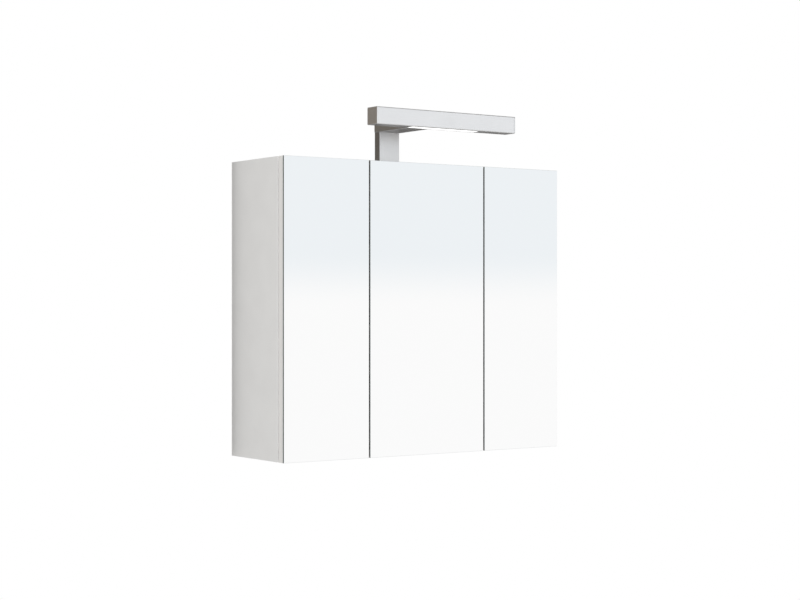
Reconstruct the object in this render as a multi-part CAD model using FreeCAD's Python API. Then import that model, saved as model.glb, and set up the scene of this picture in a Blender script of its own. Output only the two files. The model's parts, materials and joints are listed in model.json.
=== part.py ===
import FreeCAD, Part
import math
import os
from FreeCAD import Placement, Rotation, Vector

# Mirror cabinet with three mirror doors and a lamp on top.
# Sizes are in millimetres. X runs to the right, Y runs back to the wall and Z runs up.
# The origin lies on the wall, in the middle of the four wall screw holes.

# Carcass
cabinet_width = 700.0
cabinet_height = 606.0
carcass_depth = 186.0
board_thickness = 16.0
board_edge_radius = 0.6
bottom_setback = 28.0
back_thickness = 3.0
back_recess = 18.0
groove_depth = 6.0
groove_clearance = 0.15

# Corner fittings and dowels
cam_radius = 7.35
cam_height = 12.2
cam_clearance = 0.15
cam_from_panel_end = 34.0
cam_bolt_thread_radius = 2.5
cam_bolt_thread_length = 11.0
cam_bolt_shank_radius = 3.0
cam_bolt_neck_gap = 1.65
cam_bolt_neck_radius = 1.7
cam_bolt_head_radius = 2.8
cam_bolt_head_length = 3.0
front_fitting_depth = 66.0
rear_fitting_from_wall = 45.0
dowel_radius = 4.0
dowel_length = 30.0
dowel_in_face = 10.0
fastener_clearance = 0.05

# Glass shelves and their supports
shelf_thickness = 5.0
shelf_side_clearance = 1.0
shelf_front_setback = 34.0
shelf_edge_chamfer = 0.5
upper_shelf_share = 0.66
lower_shelf_share = 0.33
support_pin_radius = 2.45
support_pin_length = 8.0
support_collar_radius = 4.2
support_collar_thickness = 1.2
support_spade_length = 10.0
support_spade_width = 7.0
support_spade_thickness = 3.0
support_from_shelf_end = 22.0

# Doors
door_gap = 3.5
side_door_width = 201.5
door_board_thickness = 16.0
mirror_thickness = 4.0
mirror_edge_chamfer = 0.4
door_standoff = 2.5
door_edge_chamfer = 0.4
bumper_radius = 2.9
bumper_play = 0.2
bumper_from_end = 48.0

# Single-pivot cup hinges, measured from the door's hinged edge and its back face
hinge_from_end = 90.0
hinge_axis_from_edge = 7.6
hinge_axis_above_cup_bottom = 2.5
hinge_pin_radius = 1.0
hinge_pin_clearance = 0.05
hinge_eye_radius = 1.8
hinge_lug_thickness = 3.0
hinge_lug_reach = 2.2
hinge_lug_play = 0.5
cup_radius = 17.5
cup_cover = 1.0
cup_from_edge = 3.5
cup_wall = 0.8
cup_floor = 0.5
cup_flange_rim = 0.7
cup_flange_thickness = 1.2
cup_ear_width = 12.0
cup_ear_length = 60.0
cup_ear_offset = 6.0
cup_screw_spacing = 48.0
hinge_neck_from_edge = 24.0
hinge_neck_thickness = 2.4
hinge_neck_width = 8.0
hinge_arm_rise = 8.0
hinge_arm_width = 14.0
hinge_arm_cheek = 1.5
hinge_arm_length = 62.0
hinge_crank_start = 3.0
hinge_crank_end = 9.0
hinge_plate_thickness = 2.5
hinge_plate_start = 14.0
hinge_plate_wing_length = 44.0
hinge_plate_wing_width = 14.0
hinge_plate_screw_spacing = 32.0
hinge_plate_screw_depth = 37.0
hinge_ridge_clearance = 0.25
arm_screw_radius = 2.0
arm_screw_length = 6.0
arm_screw_head_radius = 3.4
arm_screw_head_height = 1.8
arm_slot_clearance = 0.6
first_arm_screw_depth = 24.0
second_arm_screw_depth = 52.0

# Wood screws with a countersunk head, and the driver cross that all screw heads share
wood_screw_radius = 1.6
wood_screw_head_radius = 3.2
wood_screw_length = 13.0
recess_width = 0.9
recess_depth = 1.1
recess_share_of_head = 0.7
pan_head_rounding_share = 0.3

# Hangers, hooks and wall plates
wall_hole_spacing_z = 22.0
wall_hole_radius = 3.0
wall_plate_width = 62.0
wall_plate_side_gap = 3.0
wall_plate_thickness = 2.0
wall_plate_below = 22.0
wall_plate_corner_radius = 5.0
wall_plate_step_height = 20.0
wall_plate_upstand_gap = 7.0
wall_plate_upstand_height = 14.0
hook_width = 6.0
hook_height = 10.0
hook_lip_drop = 8.0
hook_lip_thickness = 3.0
hook_wall_clearance = 3.4
hook_play = 0.1
hanger_width = 16.0
hanger_depth = 38.0
hanger_margin = 7.0
hanger_edge_radius = 1.0
hanger_below_top = 4.9
back_slot_margin = 4.0

# Lamp, measured from the mirror front and the cabinet top
lamp_length = 352.0
lamp_section = 35.0
lamp_overhang = 70.0
lamp_height_above_top = 66.5
lamp_wall = 1.6
lamp_edge_radius = 2.0
lamp_cap_thickness = 2.5
lamp_cap_edge_radius = 0.6
lamp_cap_groove = 0.6
lamp_window_length = 168.0
lamp_window_lip = 6.0
diffuser_thickness = 2.4
diffuser_clearance = 0.15
diffuser_lip = 2.0
led_board_width = 14.0
led_board_thickness = 1.5
led_count = 20
led_size = 3.0
led_height = 0.8
lamp_arm_offset = -50.7
lamp_arm_width = 50.0
lamp_arm_thickness = 20.0
lamp_post_setback = 68.0
lamp_foot_height = 10.0
lamp_screw_radius = 2.0
lamp_screw_head_radius = 3.6
lamp_screw_head_height = 2.0
lamp_post_screw_spacing = 30.0
lamp_post_screw_bite = 8.0
lamp_arm_screw_length = 5.5
wire_hole_radius = 3.5

# Switch box with rocker, lamp driver and cable gland
switch_box_width = 62.0
switch_box_depth = 90.0
switch_box_height = 46.0
switch_box_wall = 2.0
switch_box_from_front = 51.0
switch_frame_width = 25.0
switch_frame_height = 33.0
switch_frame_flange = 1.8
switch_frame_body_depth = 11.0
switch_frame_wall = 1.6
switch_frame_rim = 2.0
rocker_clearance = 0.5
rocker_pin_radius = 1.5
rocker_pin_depth = 4.0
rocker_pin_bite = 1.2
rocker_rest_tilt = 7.0
rocker_edge_height = 5.8
rocker_middle_height = 4.2
rocker_back = 2.2
driver_width = 44.0
driver_front_gap = 4.8
driver_height = 22.0
driver_edge_radius = 1.0
gland_bore_radius = 3.6
gland_wall = 2.2
gland_flange = 3.0
gland_flange_thickness = 1.5
gland_length = 8.0
gland_floor_gap = 0.7

os.makedirs("parts", exist_ok=True)

# Planes and positions that follow from the sizes above
half_width = cabinet_width / 2
side_inner = half_width - board_thickness
front_y = -carcass_depth
step_low = wall_plate_step_height - wall_plate_thickness
upstand_top = step_low + wall_plate_upstand_height
hook_low = upstand_top + hook_play
hook_high = hook_low + hook_height
hanger_low = hook_low - hanger_margin
hanger_high = hook_high + hanger_margin
top_z = hanger_high + hanger_below_top + board_thickness
bottom_z = top_z - cabinet_height
inner_top_z = top_z - board_thickness
inner_bottom_z = bottom_z + board_thickness
inner_height = inner_top_z - inner_bottom_z
back_rear_y = -back_recess
back_front_y = back_rear_y - back_thickness
gap_centre = half_width - side_door_width - door_gap / 2
partition_outer = gap_centre + board_thickness / 2
partition_inner = gap_centre - board_thickness / 2
door_back_y = front_y - door_standoff
door_board_front_y = door_back_y - door_board_thickness
mirror_front_y = door_board_front_y - mirror_thickness
hinge_heights = [top_z - hinge_from_end, bottom_z + hinge_from_end]
fitting_y = [front_y + front_fitting_depth, -rear_fitting_from_wall]
middle_fitting_y = (fitting_y[0] + fitting_y[1]) / 2


def box(x0, x1, y0, y1, z0, z1):
    return Part.makeBox(x1 - x0, y1 - y0, z1 - z0, Vector(x0, y0, z0))


def rod(radius, start, end):
    along = end - start
    return Part.makeCylinder(radius, along.Length, start, along)


def join(shapes):
    return shapes[0].fuse(shapes[1:]).removeSplitter()


def turned(shape, point, direction):
    """A copy whose local origin is at the point and whose local Z runs along the direction."""
    copy = shape.copy()
    copy.Placement = Placement(point, Rotation(Vector(0, 0, 1), direction))
    return copy


def mirrored(shape):
    return shape.mirror(Vector(0, 0, 0), Vector(1, 0, 0))


def rounded(shape, radius, chosen):
    edges = [edge for edge in shape.Edges if chosen(edge)]
    return shape.makeFillet(radius, edges)


def chamfered(shape, size, chosen):
    edges = [edge for edge in shape.Edges if chosen(edge)]
    return shape.makeChamfer(size, edges)


def lies_at(edge, axis, value):
    return all(abs(getattr(vertex.Point, axis) - value) < 1e-6 for vertex in edge.Vertexes)


def runs_along(edge, axis):
    first, last = edge.Vertexes[0].Point, edge.Vertexes[-1].Point
    return abs(abs(getattr(last - first, axis)) - edge.Length) < 1e-6


def edges_at(axis, value, along=None):
    """A test for edges that lie in one plane and, if asked, run one way."""

    def test(edge):
        return lies_at(edge, axis, value) and (along is None or runs_along(edge, along))

    return test


def edges_along(axis):
    """A test for straight edges that run one way."""

    def test(edge):
        return runs_along(edge, axis)

    return test


def save(name, *shapes):
    solids = [solid for shape in shapes for solid in shape.Solids]
    whole = solids[0] if len(solids) == 1 else Part.makeCompound(solids)
    whole.exportStep("parts/" + name + ".step")


def cross_recess(head_radius):
    """A driver cross, sunk from local Z = 0 down into a screw head."""
    arm = recess_share_of_head * head_radius
    half = recess_width / 2
    first = box(-arm, arm, -half, half, -recess_depth, recess_depth)
    second = box(-half, half, -arm, arm, -recess_depth, recess_depth)
    return first.fuse(second)


def countersunk(extra):
    """A countersunk screw, head flush with local Z = 0, pointing down. Extra makes the hole for it."""
    head_height = wood_screw_head_radius - wood_screw_radius
    head = Part.makeCone(
        wood_screw_radius + extra, wood_screw_head_radius + extra, head_height, Vector(0, 0, -head_height)
    )
    tip = Vector(0, 0, -wood_screw_length - extra)
    shank = rod(wood_screw_radius + extra, tip, Vector(0, 0, -head_height))
    return join([head, shank])


def wood_screw():
    return countersunk(0).cut(cross_recess(wood_screw_head_radius))


def pan_screw(radius, length, head_radius, head_height):
    """A screw with a raised head: the seat is at local Z = 0 and the thread points down."""
    head = rod(head_radius, Vector(0, 0, 0), Vector(0, 0, head_height))
    head = rounded(head, pan_head_rounding_share * head_height, edges_at("z", head_height))
    thread = rod(radius, Vector(0, 0, -length), Vector(0, 0, 0))
    recess = cross_recess(head_radius)
    recess.translate(Vector(0, 0, head_height))
    return join([head, thread]).cut(recess)


# Carcass boards
def side_panel():
    """The left side panel, with rounded front edges and a groove for the back."""
    panel = box(-half_width, -side_inner, front_y, 0, bottom_z, top_z)
    panel = rounded(panel, board_edge_radius, edges_at("y", front_y, "z"))
    groove = box(
        -side_inner - groove_depth,
        -side_inner,
        back_front_y - groove_clearance,
        back_rear_y + groove_clearance,
        inner_bottom_z - groove_depth,
        inner_top_z + groove_depth,
    )
    return panel.cut(groove)


def cross_panel(low, high, panel_front_y, inner_z):
    """The top or bottom panel between the sides, grooved on its inner face."""
    panel = box(-side_inner, side_inner, panel_front_y, 0, low, high)
    panel = rounded(panel, board_edge_radius, edges_at("y", panel_front_y, "x"))
    groove = box(
        -side_inner,
        side_inner,
        back_front_y - groove_clearance,
        back_rear_y + groove_clearance,
        inner_z - groove_depth,
        inner_z + groove_depth,
    )
    return panel.cut(groove)


def partition():
    """The left partition, from the carcass front to the back panel."""
    panel = box(-partition_outer, -partition_inner, front_y, back_front_y, inner_bottom_z, inner_top_z)
    return rounded(panel, board_edge_radius, edges_at("y", front_y, "z"))


left_side = side_panel()
right_side = mirrored(left_side)
top_panel = cross_panel(inner_top_z, top_z, front_y, inner_top_z)
bottom_panel = cross_panel(bottom_z, inner_bottom_z, front_y + bottom_setback, inner_bottom_z)
left_partition = partition()
right_partition = mirrored(left_partition)
back_edge_x = side_inner + groove_depth - groove_clearance
back_panel = box(
    -back_edge_x,
    back_edge_x,
    back_front_y,
    back_rear_y,
    inner_bottom_z - groove_depth + groove_clearance,
    inner_top_z + groove_depth - groove_clearance,
)

# Cam locks draw the top and bottom panels against the sides
bolt_shank_end = cam_from_panel_end - cam_radius - cam_bolt_neck_gap
bolt_neck_end = cam_from_panel_end - cam_bolt_head_length / 2
bolt_end = bolt_neck_end + cam_bolt_head_length


def cam():
    """A cam with its face at local Z = 0, its bolt arriving along local -X halfway through the board."""
    body = rod(cam_radius, Vector(0, 0, -cam_height), Vector(0, 0, 0))
    passage = rod(
        cam_bolt_head_radius + cam_clearance,
        Vector(-2 * cam_radius, 0, -board_thickness / 2),
        Vector(bolt_end - cam_from_panel_end + cam_clearance, 0, -board_thickness / 2),
    )
    return body.cut(passage).cut(cross_recess(cam_radius))


def cam_bolt():
    """A bolt along local X. The panel end is at X = 0 and the thread sits in the side panel."""
    thread = rod(cam_bolt_thread_radius, Vector(-cam_bolt_thread_length, 0, 0), Vector(0, 0, 0))
    shank = rod(cam_bolt_shank_radius, Vector(0, 0, 0), Vector(bolt_shank_end, 0, 0))
    neck = rod(cam_bolt_neck_radius, Vector(bolt_shank_end, 0, 0), Vector(bolt_neck_end, 0, 0))
    head = rod(cam_bolt_head_radius, Vector(bolt_neck_end, 0, 0), Vector(bolt_end, 0, 0))
    return join([thread, shank, neck, head])


cams = []
cam_bolts = []
thread_hole_radius = cam_bolt_thread_radius + fastener_clearance
shank_hole_radius = cam_bolt_shank_radius + cam_clearance
for face_z, outward in ((top_z, 1), (bottom_z, -1)):
    middle_z = face_z - outward * board_thickness / 2
    for y in fitting_y:
        left_cam = cam()
        if outward < 0:
            left_cam = left_cam.mirror(Vector(0, 0, 0), Vector(0, 0, 1))
        left_cam.translate(Vector(-side_inner + cam_from_panel_end, y, face_z))
        left_bolt = cam_bolt()
        left_bolt.translate(Vector(-side_inner, y, middle_z))
        cams += [left_cam, mirrored(left_cam)]
        cam_bolts += [left_bolt, mirrored(left_bolt)]
        pocket_floor = face_z - outward * (cam_height + cam_clearance)
        pocket = rod(
            cam_radius + cam_clearance,
            Vector(-side_inner + cam_from_panel_end, y, pocket_floor),
            Vector(-side_inner + cam_from_panel_end, y, face_z),
        )
        passage = rod(
            shank_hole_radius,
            Vector(-side_inner, y, middle_z),
            Vector(-side_inner + cam_from_panel_end, y, middle_z),
        )
        thread_hole = rod(
            thread_hole_radius,
            Vector(-side_inner - cam_bolt_thread_length - fastener_clearance, y, middle_z),
            Vector(-side_inner, y, middle_z),
        )
        tools = [pocket, passage, mirrored(pocket), mirrored(passage)]
        if outward > 0:
            top_panel = top_panel.cut(tools)
        else:
            bottom_panel = bottom_panel.cut(tools)
        left_side = left_side.cut(thread_hole)
        right_side = right_side.cut(mirrored(thread_hole))


def dowel(extra):
    """A dowel along local Z, its first part below Z = 0. Extra makes the hole for it."""
    low = Vector(0, 0, -dowel_in_face - extra)
    high = Vector(0, 0, dowel_length - dowel_in_face + extra)
    pin = rod(dowel_radius + extra, low, high)
    if extra:
        return pin
    return chamfered(pin, dowel_radius / 5, lambda edge: edge.Closed)


# Dowels in the corners and at both ends of the partitions
dowels = []
for middle_z in (top_z - board_thickness / 2, bottom_z + board_thickness / 2):
    at = Vector(-side_inner, middle_fitting_y, middle_z)
    hole = turned(dowel(fastener_clearance), at, Vector(1, 0, 0))
    pin = turned(dowel(0), at, Vector(1, 0, 0))
    dowels += [pin, mirrored(pin)]
    left_side = left_side.cut(hole)
    right_side = right_side.cut(mirrored(hole))
    if middle_z > 0:
        top_panel = top_panel.cut([hole, mirrored(hole)])
    else:
        bottom_panel = bottom_panel.cut([hole, mirrored(hole)])
for face_z, inward in ((inner_top_z, -1), (inner_bottom_z, 1)):
    for y in fitting_y:
        at = Vector(-gap_centre, y, face_z)
        hole = turned(dowel(fastener_clearance), at, Vector(0, 0, inward))
        pin = turned(dowel(0), at, Vector(0, 0, inward))
        dowels += [pin, mirrored(pin)]
        left_partition = left_partition.cut(hole)
        right_partition = right_partition.cut(mirrored(hole))
        if inward < 0:
            top_panel = top_panel.cut([hole, mirrored(hole)])
        else:
            bottom_panel = bottom_panel.cut([hole, mirrored(hole)])

# Glass shelves on four supports each
compartments = {
    "left": (-side_inner, -partition_outer),
    "centre": (-partition_inner, partition_inner),
    "right": (partition_outer, side_inner),
}
shelf_levels = {
    "upper": inner_bottom_z + upper_shelf_share * inner_height,
    "lower": inner_bottom_z + lower_shelf_share * inner_height,
}
shelf_front_y = front_y + shelf_front_setback
shelf_back_y = back_front_y - shelf_side_clearance
support_y = [shelf_front_y + support_from_shelf_end, shelf_back_y - support_from_shelf_end]


def support():
    """A shelf support standing out along local +X from a panel face at X = 0, its top at local Z = 0."""
    pin_z = -support_spade_thickness / 2
    pin = rod(support_pin_radius, Vector(-support_pin_length, 0, pin_z), Vector(0, 0, pin_z))
    collar = rod(support_collar_radius, Vector(0, 0, pin_z), Vector(support_collar_thickness, 0, pin_z))
    above = box(
        -support_collar_thickness,
        support_spade_length,
        -support_collar_radius,
        support_collar_radius,
        0,
        support_collar_radius,
    )
    half = support_spade_width / 2
    spade = box(0, support_spade_length, -half, half, -support_spade_thickness, 0)
    return join([pin, collar.cut(above), spade])


def support_hole(x, y, z, inward):
    pin_z = z - support_spade_thickness / 2
    deep = x - inward * (support_pin_length + fastener_clearance)
    return rod(support_pin_radius + fastener_clearance, Vector(deep, y, pin_z), Vector(x, y, pin_z))


shelf_supports = []
holes_left_side = []
holes_left_partition = []
for level, shelf_z in shelf_levels.items():
    for place, (x0, x1) in compartments.items():
        glass = box(
            x0 + shelf_side_clearance,
            x1 - shelf_side_clearance,
            shelf_front_y,
            shelf_back_y,
            shelf_z,
            shelf_z + shelf_thickness,
        )
        save("shelf_" + place + "_" + level, chamfered(glass, shelf_edge_chamfer, lambda edge: True))
        for y in support_y:
            left_support = support()
            left_support.translate(Vector(x0, y, shelf_z))
            right_support = mirrored(support())
            right_support.translate(Vector(x1, y, shelf_z))
            shelf_supports += [left_support, right_support]
    for y in support_y:
        holes_left_side.append(support_hole(-side_inner, y, shelf_z, 1))
        holes_left_partition.append(support_hole(-partition_outer, y, shelf_z, -1))
        # The two pins in a partition share its thickness from opposite faces
        holes_left_partition.append(support_hole(-partition_inner, y, shelf_z, 1))
left_side = left_side.cut(holes_left_side)
right_side = right_side.cut([mirrored(hole) for hole in holes_left_side])
left_partition = left_partition.cut(holes_left_partition)
right_partition = right_partition.cut([mirrored(hole) for hole in holes_left_partition])

# Hinge pieces. Local X runs inward from the door's hinged edge, local Y runs back from the carcass front
door_local_back = -door_standoff
cup_centre = cup_from_edge + cup_radius
cup_bottom_y = door_local_back - door_board_thickness + cup_cover
axis_local_y = cup_bottom_y + hinge_axis_above_cup_bottom
lug_start = hinge_neck_width / 2 + hinge_lug_play
pin_half_length = lug_start + hinge_lug_thickness
cup_screw_x = cup_centre + cup_ear_offset
flange_y = door_local_back + cup_flange_thickness


def hinge_axis_rod(radius, half_length):
    low = Vector(hinge_axis_from_edge, axis_local_y, -half_length)
    high = Vector(hinge_axis_from_edge, axis_local_y, half_length)
    return rod(radius, low, high)


def cup_screws(screw):
    half = cup_screw_spacing / 2
    return [turned(screw, Vector(cup_screw_x, flange_y, z), Vector(0, 1, 0)) for z in (-half, half)]


def hinge_cup():
    """A pressed cup with a flange and two screw ears, open towards the carcass."""
    at_back = Vector(cup_centre, door_local_back, 0)
    at_flange = Vector(cup_centre, flange_y, 0)
    shell = rod(cup_radius, Vector(cup_centre, cup_bottom_y, 0), at_back)
    rim = rod(cup_radius + cup_flange_rim, at_back, at_flange)
    half = cup_ear_length / 2
    ears = box(
        cup_screw_x - cup_ear_width / 2,
        cup_screw_x + cup_ear_width / 2,
        door_local_back,
        flange_y,
        -half,
        half,
    )
    ears = rounded(ears, cup_ear_width / 3, edges_along("y"))
    hollow = rod(cup_radius - cup_wall, Vector(cup_centre, cup_bottom_y + cup_floor, 0), at_flange)
    lug_x1 = hinge_axis_from_edge + hinge_lug_reach
    lug_y1 = axis_local_y + hinge_lug_reach
    lug = box(cup_from_edge, lug_x1, cup_bottom_y, lug_y1, lug_start, pin_half_length)
    lugs = [lug, lug.mirror(Vector(0, 0, 0), Vector(0, 0, 1))]
    lugs = [one.common(shell) for one in lugs]
    pin_hole = hinge_axis_rod(hinge_pin_radius, pin_half_length)
    cup = join([join([shell, rim, ears]).cut(hollow)] + lugs)
    return cup.cut([pin_hole] + cup_screws(countersunk(fastener_clearance)))


def strip(start, end, thickness, width):
    """A flat bar of steel between two points in the local XY plane, centred on local Z = 0."""
    along = end - start
    bar = Part.makeBox(along.Length, thickness, width, Vector(0, -thickness / 2, -width / 2))
    bar.rotate(Vector(0, 0, 0), Vector(0, 0, 1), math.degrees(math.atan2(along.y, along.x)))
    bar.translate(start)
    return bar


def arm_screw_seats(panel_face):
    seat_x = panel_face + hinge_arm_rise + hinge_neck_thickness / 2
    return [Vector(seat_x, y, 0) for y in (first_arm_screw_depth, second_arm_screw_depth)]


def hinge_arm(panel_face):
    """The bent arm from the pin round the door's edge to the channel that sits on the mounting plate."""
    rise = panel_face + hinge_arm_rise
    half_thickness = hinge_neck_thickness / 2
    corners = [
        Vector(hinge_axis_from_edge, axis_local_y, 0),
        Vector(hinge_neck_from_edge, axis_local_y, 0),
        Vector(hinge_neck_from_edge, hinge_crank_start, 0),
        Vector(rise, hinge_crank_end, 0),
        Vector(rise, hinge_plate_start, 0),
    ]
    pieces = [hinge_axis_rod(hinge_eye_radius, hinge_neck_width / 2)]
    for start, end in zip(corners, corners[1:]):
        pieces.append(strip(start, end, hinge_neck_thickness, hinge_neck_width))
    half_width_z = Vector(0, 0, hinge_neck_width / 2)
    for corner in corners[1:4]:
        pieces.append(rod(half_thickness, corner - half_width_z, corner + half_width_z))
    channel_half = hinge_arm_width / 2
    channel_top = rise + half_thickness
    channel = box(
        panel_face + hinge_plate_thickness + hinge_ridge_clearance,
        channel_top,
        hinge_crank_end,
        hinge_arm_length,
        -channel_half,
        channel_half,
    )
    channel = rounded(channel, half_thickness, edges_at("x", channel_top, "y"))
    inner_half = channel_half - hinge_arm_cheek
    hollow = box(
        panel_face,
        rise - half_thickness,
        hinge_crank_end,
        hinge_arm_length,
        -inner_half,
        inner_half,
    )
    pieces.append(channel.cut(hollow))
    eye_hole = hinge_axis_rod(hinge_pin_radius + hinge_pin_clearance, hinge_neck_width)
    slots = []
    for seat in arm_screw_seats(panel_face):
        deep = seat - Vector(2 * hinge_neck_thickness, 0, 0)
        slots.append(rod(arm_screw_radius + arm_slot_clearance, deep, seat))
    return join(pieces).cut([eye_hole] + slots)


def plate_screws(screw, panel_face):
    seat_x = panel_face + hinge_plate_thickness
    half = hinge_plate_screw_spacing / 2
    return [
        turned(screw, Vector(seat_x, hinge_plate_screw_depth, z), Vector(1, 0, 0)) for z in (-half, half)
    ]


def hinge_plate(panel_face):
    """A cross-shaped mounting plate with a ridge that the arm slides over."""
    face = panel_face + hinge_plate_thickness
    foot_half = hinge_arm_width / 2
    foot = box(panel_face, face, hinge_plate_start, hinge_arm_length, -foot_half, foot_half)
    half_length = hinge_plate_wing_length / 2
    half_width_y = hinge_plate_wing_width / 2
    wings = box(
        panel_face,
        face,
        hinge_plate_screw_depth - half_width_y,
        hinge_plate_screw_depth + half_width_y,
        -half_length,
        half_length,
    )
    wings = rounded(wings, half_width_y / 2, edges_along("x"))
    ridge_half = foot_half - hinge_arm_cheek - hinge_ridge_clearance
    ridge_top = panel_face + hinge_arm_rise - hinge_neck_thickness / 2 - hinge_ridge_clearance
    ridge = box(face, ridge_top, hinge_plate_start, hinge_arm_length, -ridge_half, ridge_half)
    threads = []
    for seat in arm_screw_seats(panel_face):
        deep = seat - Vector(arm_screw_length + fastener_clearance, 0, 0)
        threads.append(rod(arm_screw_radius + fastener_clearance, deep, seat))
    screw_holes = plate_screws(countersunk(fastener_clearance), panel_face)
    return join([foot, wings, ridge]).cut(threads + screw_holes)


# Door name, hinged edge, direction from that edge inwards, door width, panel face seen from the edge
centre_door_width = 2 * gap_centre - door_gap
centre_edge = -centre_door_width / 2
doors = [
    ("left", -half_width, 1, side_door_width, board_thickness),
    ("centre", centre_edge, 1, centre_door_width, -partition_inner - centre_edge),
    ("right", half_width, -1, side_door_width, board_thickness),
]
hinge_plates = []
arm_screws = []
panel_screws = []
panel_screw_holes = {"left": [], "centre": [], "right": []}
arm_screw = pan_screw(arm_screw_radius, arm_screw_length, arm_screw_head_radius, arm_screw_head_height)


def placed(shape, edge_x, inward, z):
    """A hinge piece moved from its local frame to a door's hinged edge and a height."""
    copy = shape.copy() if inward > 0 else mirrored(shape)
    copy.translate(Vector(edge_x, front_y, z))
    return copy


for name, edge_x, inward, width, panel_face in doors:
    low_x = min(edge_x, edge_x + inward * width)
    high_x = low_x + width
    board = box(low_x, high_x, door_board_front_y, door_back_y, bottom_z, top_z)
    board = chamfered(board, door_edge_chamfer, edges_at("y", door_back_y))
    cup_bore = rod(
        cup_radius + fastener_clearance,
        Vector(cup_centre, cup_bottom_y - fastener_clearance, 0),
        Vector(cup_centre, door_local_back, 0),
    )
    cups, pins, screws, arms = [], [], [], []
    for z in hinge_heights:
        cups.append(placed(hinge_cup(), edge_x, inward, z))
        pins.append(placed(hinge_axis_rod(hinge_pin_radius, pin_half_length), edge_x, inward, z))
        screws += [placed(screw, edge_x, inward, z) for screw in cup_screws(wood_screw())]
        arms.append(placed(hinge_arm(panel_face), edge_x, inward, z))
        hinge_plates.append(placed(hinge_plate(panel_face), edge_x, inward, z))
        for seat in arm_screw_seats(panel_face):
            arm_screws.append(placed(turned(arm_screw, seat, Vector(1, 0, 0)), edge_x, inward, z))
        for screw in plate_screws(wood_screw(), panel_face):
            panel_screws.append(placed(screw, edge_x, inward, z))
        for hole in plate_screws(countersunk(fastener_clearance), panel_face):
            panel_screw_holes[name].append(placed(hole, edge_x, inward, z))
        bores = [cup_bore] + cup_screws(countersunk(fastener_clearance))
        board = board.cut([placed(bore, edge_x, inward, z) for bore in bores])
    save("door_panel_" + name, board)
    mirror_glass = box(low_x, high_x, mirror_front_y, door_board_front_y, bottom_z, top_z)
    mirror_glass = chamfered(mirror_glass, mirror_edge_chamfer, edges_at("y", mirror_front_y))
    save("door_mirror_" + name, mirror_glass)
    save("hinge_cups_" + name, *cups)
    save("hinge_pins_" + name, *pins)
    save("cup_screws_" + name, *screws)
    save("hinge_arms_" + name, *arms)
    # The bumpers meet the front edge of a partition when the door is shut
    overlay = partition_outer - gap_centre - door_gap / 2
    free_x = edge_x + inward * (width - overlay / 2)
    bumper_height = door_standoff - bumper_play
    bumpers = []
    for z in (top_z - bumper_from_end, bottom_z + bumper_from_end):
        start = Vector(free_x, door_back_y, z)
        bumper = rod(bumper_radius, start, start + Vector(0, bumper_height, 0))
        bumper_end = door_back_y + bumper_height
        bumper = rounded(bumper, bumper_height / 2, edges_at("y", bumper_end))
        bumpers.append(bumper)
    save("bumpers_" + name, *bumpers)
left_side = left_side.cut(panel_screw_holes["left"])
left_partition = left_partition.cut(panel_screw_holes["centre"])
right_side = right_side.cut(panel_screw_holes["right"])

# Wall plates, hooks and hangers. The hooks hang over the upstands of the wall plates
plate_centre = side_inner - wall_plate_side_gap - wall_plate_width / 2
upstand_front_y = -wall_plate_upstand_gap - wall_plate_thickness
hanger_front_y = back_front_y - hanger_depth
hook_centre = -side_inner + hanger_width / 2


def wall_plate():
    """The left wall plate: a flat with two screw holes, a step forward and an upstand."""
    x0 = -plate_centre - wall_plate_width / 2
    x1 = -plate_centre + wall_plate_width / 2
    flat = box(x0, x1, -wall_plate_thickness, 0, -wall_plate_below, wall_plate_step_height)
    flat = rounded(flat, wall_plate_corner_radius, edges_at("z", -wall_plate_below, "y"))
    step = box(x0, x1, upstand_front_y, 0, step_low, wall_plate_step_height)
    upstand = box(x0, x1, upstand_front_y, -wall_plate_upstand_gap, step_low, upstand_top)
    holes = []
    for z in (-wall_hole_spacing_z / 2, wall_hole_spacing_z / 2):
        start = Vector(-plate_centre, -wall_plate_thickness, z)
        holes.append(rod(wall_hole_radius, start, Vector(-plate_centre, 0, z)))
    return join([flat, step, upstand]).cut(holes)


def hook():
    """The left hook: a bar through the back panel whose lip drops behind the upstand."""
    x0 = hook_centre - hook_width / 2
    x1 = hook_centre + hook_width / 2
    bar = box(x0, x1, hanger_front_y + hanger_margin, -hook_wall_clearance, hook_low, hook_high)
    lip_front_y = -hook_wall_clearance - hook_lip_thickness
    lip = box(x0, x1, lip_front_y, -hook_wall_clearance, hook_low - hook_lip_drop, hook_low)
    return join([bar, lip])


def hanger():
    """The left hanger: a block on the side panel with a slot that the hook slides in."""
    block = box(
        -side_inner,
        -side_inner + hanger_width,
        hanger_front_y,
        back_front_y,
        hanger_low,
        hanger_high,
    )
    block = rounded(block, hanger_edge_radius, edges_at("y", hanger_front_y))
    half = hook_width / 2 + hook_play
    slot = box(
        hook_centre - half,
        hook_centre + half,
        hanger_front_y + hanger_margin - hook_play,
        back_front_y,
        hook_low - hook_play,
        hook_high + hook_play,
    )
    return block.cut(slot)


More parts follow.
